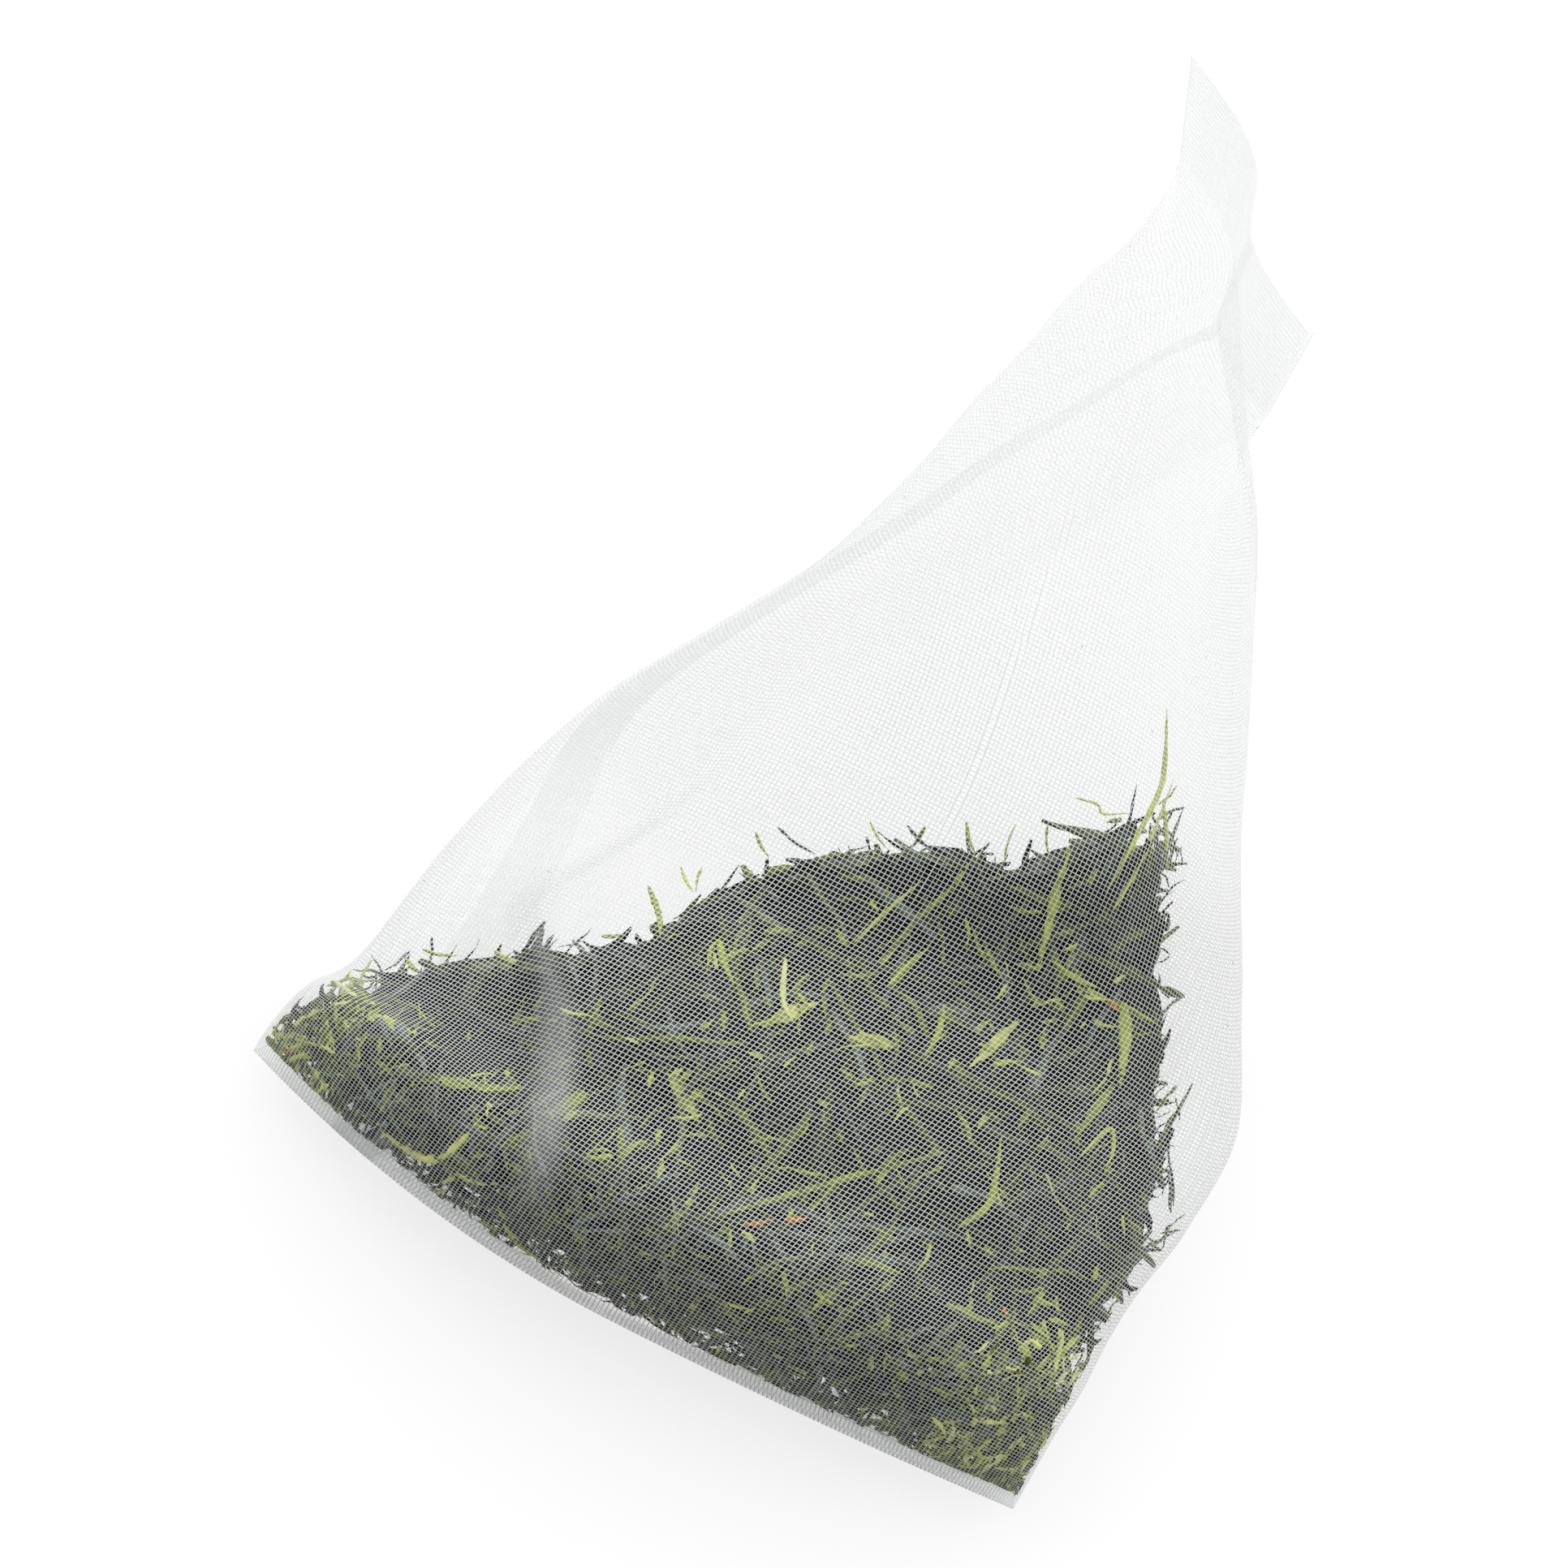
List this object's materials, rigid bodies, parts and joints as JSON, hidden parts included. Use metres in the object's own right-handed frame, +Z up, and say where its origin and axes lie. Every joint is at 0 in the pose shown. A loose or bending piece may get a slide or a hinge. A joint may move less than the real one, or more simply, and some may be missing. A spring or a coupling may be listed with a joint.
{
  "type": "pyramid tea bag",
  "caption": "Filled pyramid tea bag of white woven mesh, two heat-sealed ends square to each other, lying on its back panel over rolled green tea leaves.",
  "frame": {"origin": "middle of the footprint's bounding box, on the floor that the bag lies on", "axes": "+Z up, +Y from the bottom seal, which lies along X, towards the standing seal"},
  "size_m": [0.0504, 0.0798, 0.048],
  "materials": {
    "web": "fine white woven nylon mesh, see-through",
    "heap": "packed dry rolled tea leaves, dark grey-green",
    "leaf": "dry rolled leaf, dark green",
    "flake": "dry flat leaf flake, yellow-green",
    "stalk": "dry leaf stalk, pale"
  },
  "bodies": {
    "root": {"mesh_bag": "web", "leaf_heap": "heap", "corner_leaf": "flake", "flake_1": "flake", "flake_2": "flake", "flake_3": "flake", "flake_4": "flake", "flake_5": "flake", "flake_6": "flake", "jointed_stalk": "stalk", "leaf_01": "leaf", "leaf_02": "leaf", "leaf_03": "leaf", "leaf_04": "leaf", "leaf_05": "leaf", "leaf_06": "leaf", "leaf_07": "leaf", "leaf_08": "leaf", "leaf_09": "leaf", "leaf_10": "leaf", "leaf_11": "leaf", "leaf_12": "leaf", "leaf_13": "leaf", "leaf_14": "leaf", "leaf_15": "leaf", "leaf_16": "leaf", "leaf_17": "leaf", "leaf_18": "leaf", "long_stalk": "stalk", "pocket_flake": "flake", "pocket_rod": "flake", "standing_leaf": "leaf", "standing_leaf_short": "leaf"}
  },
  "joints": []
}
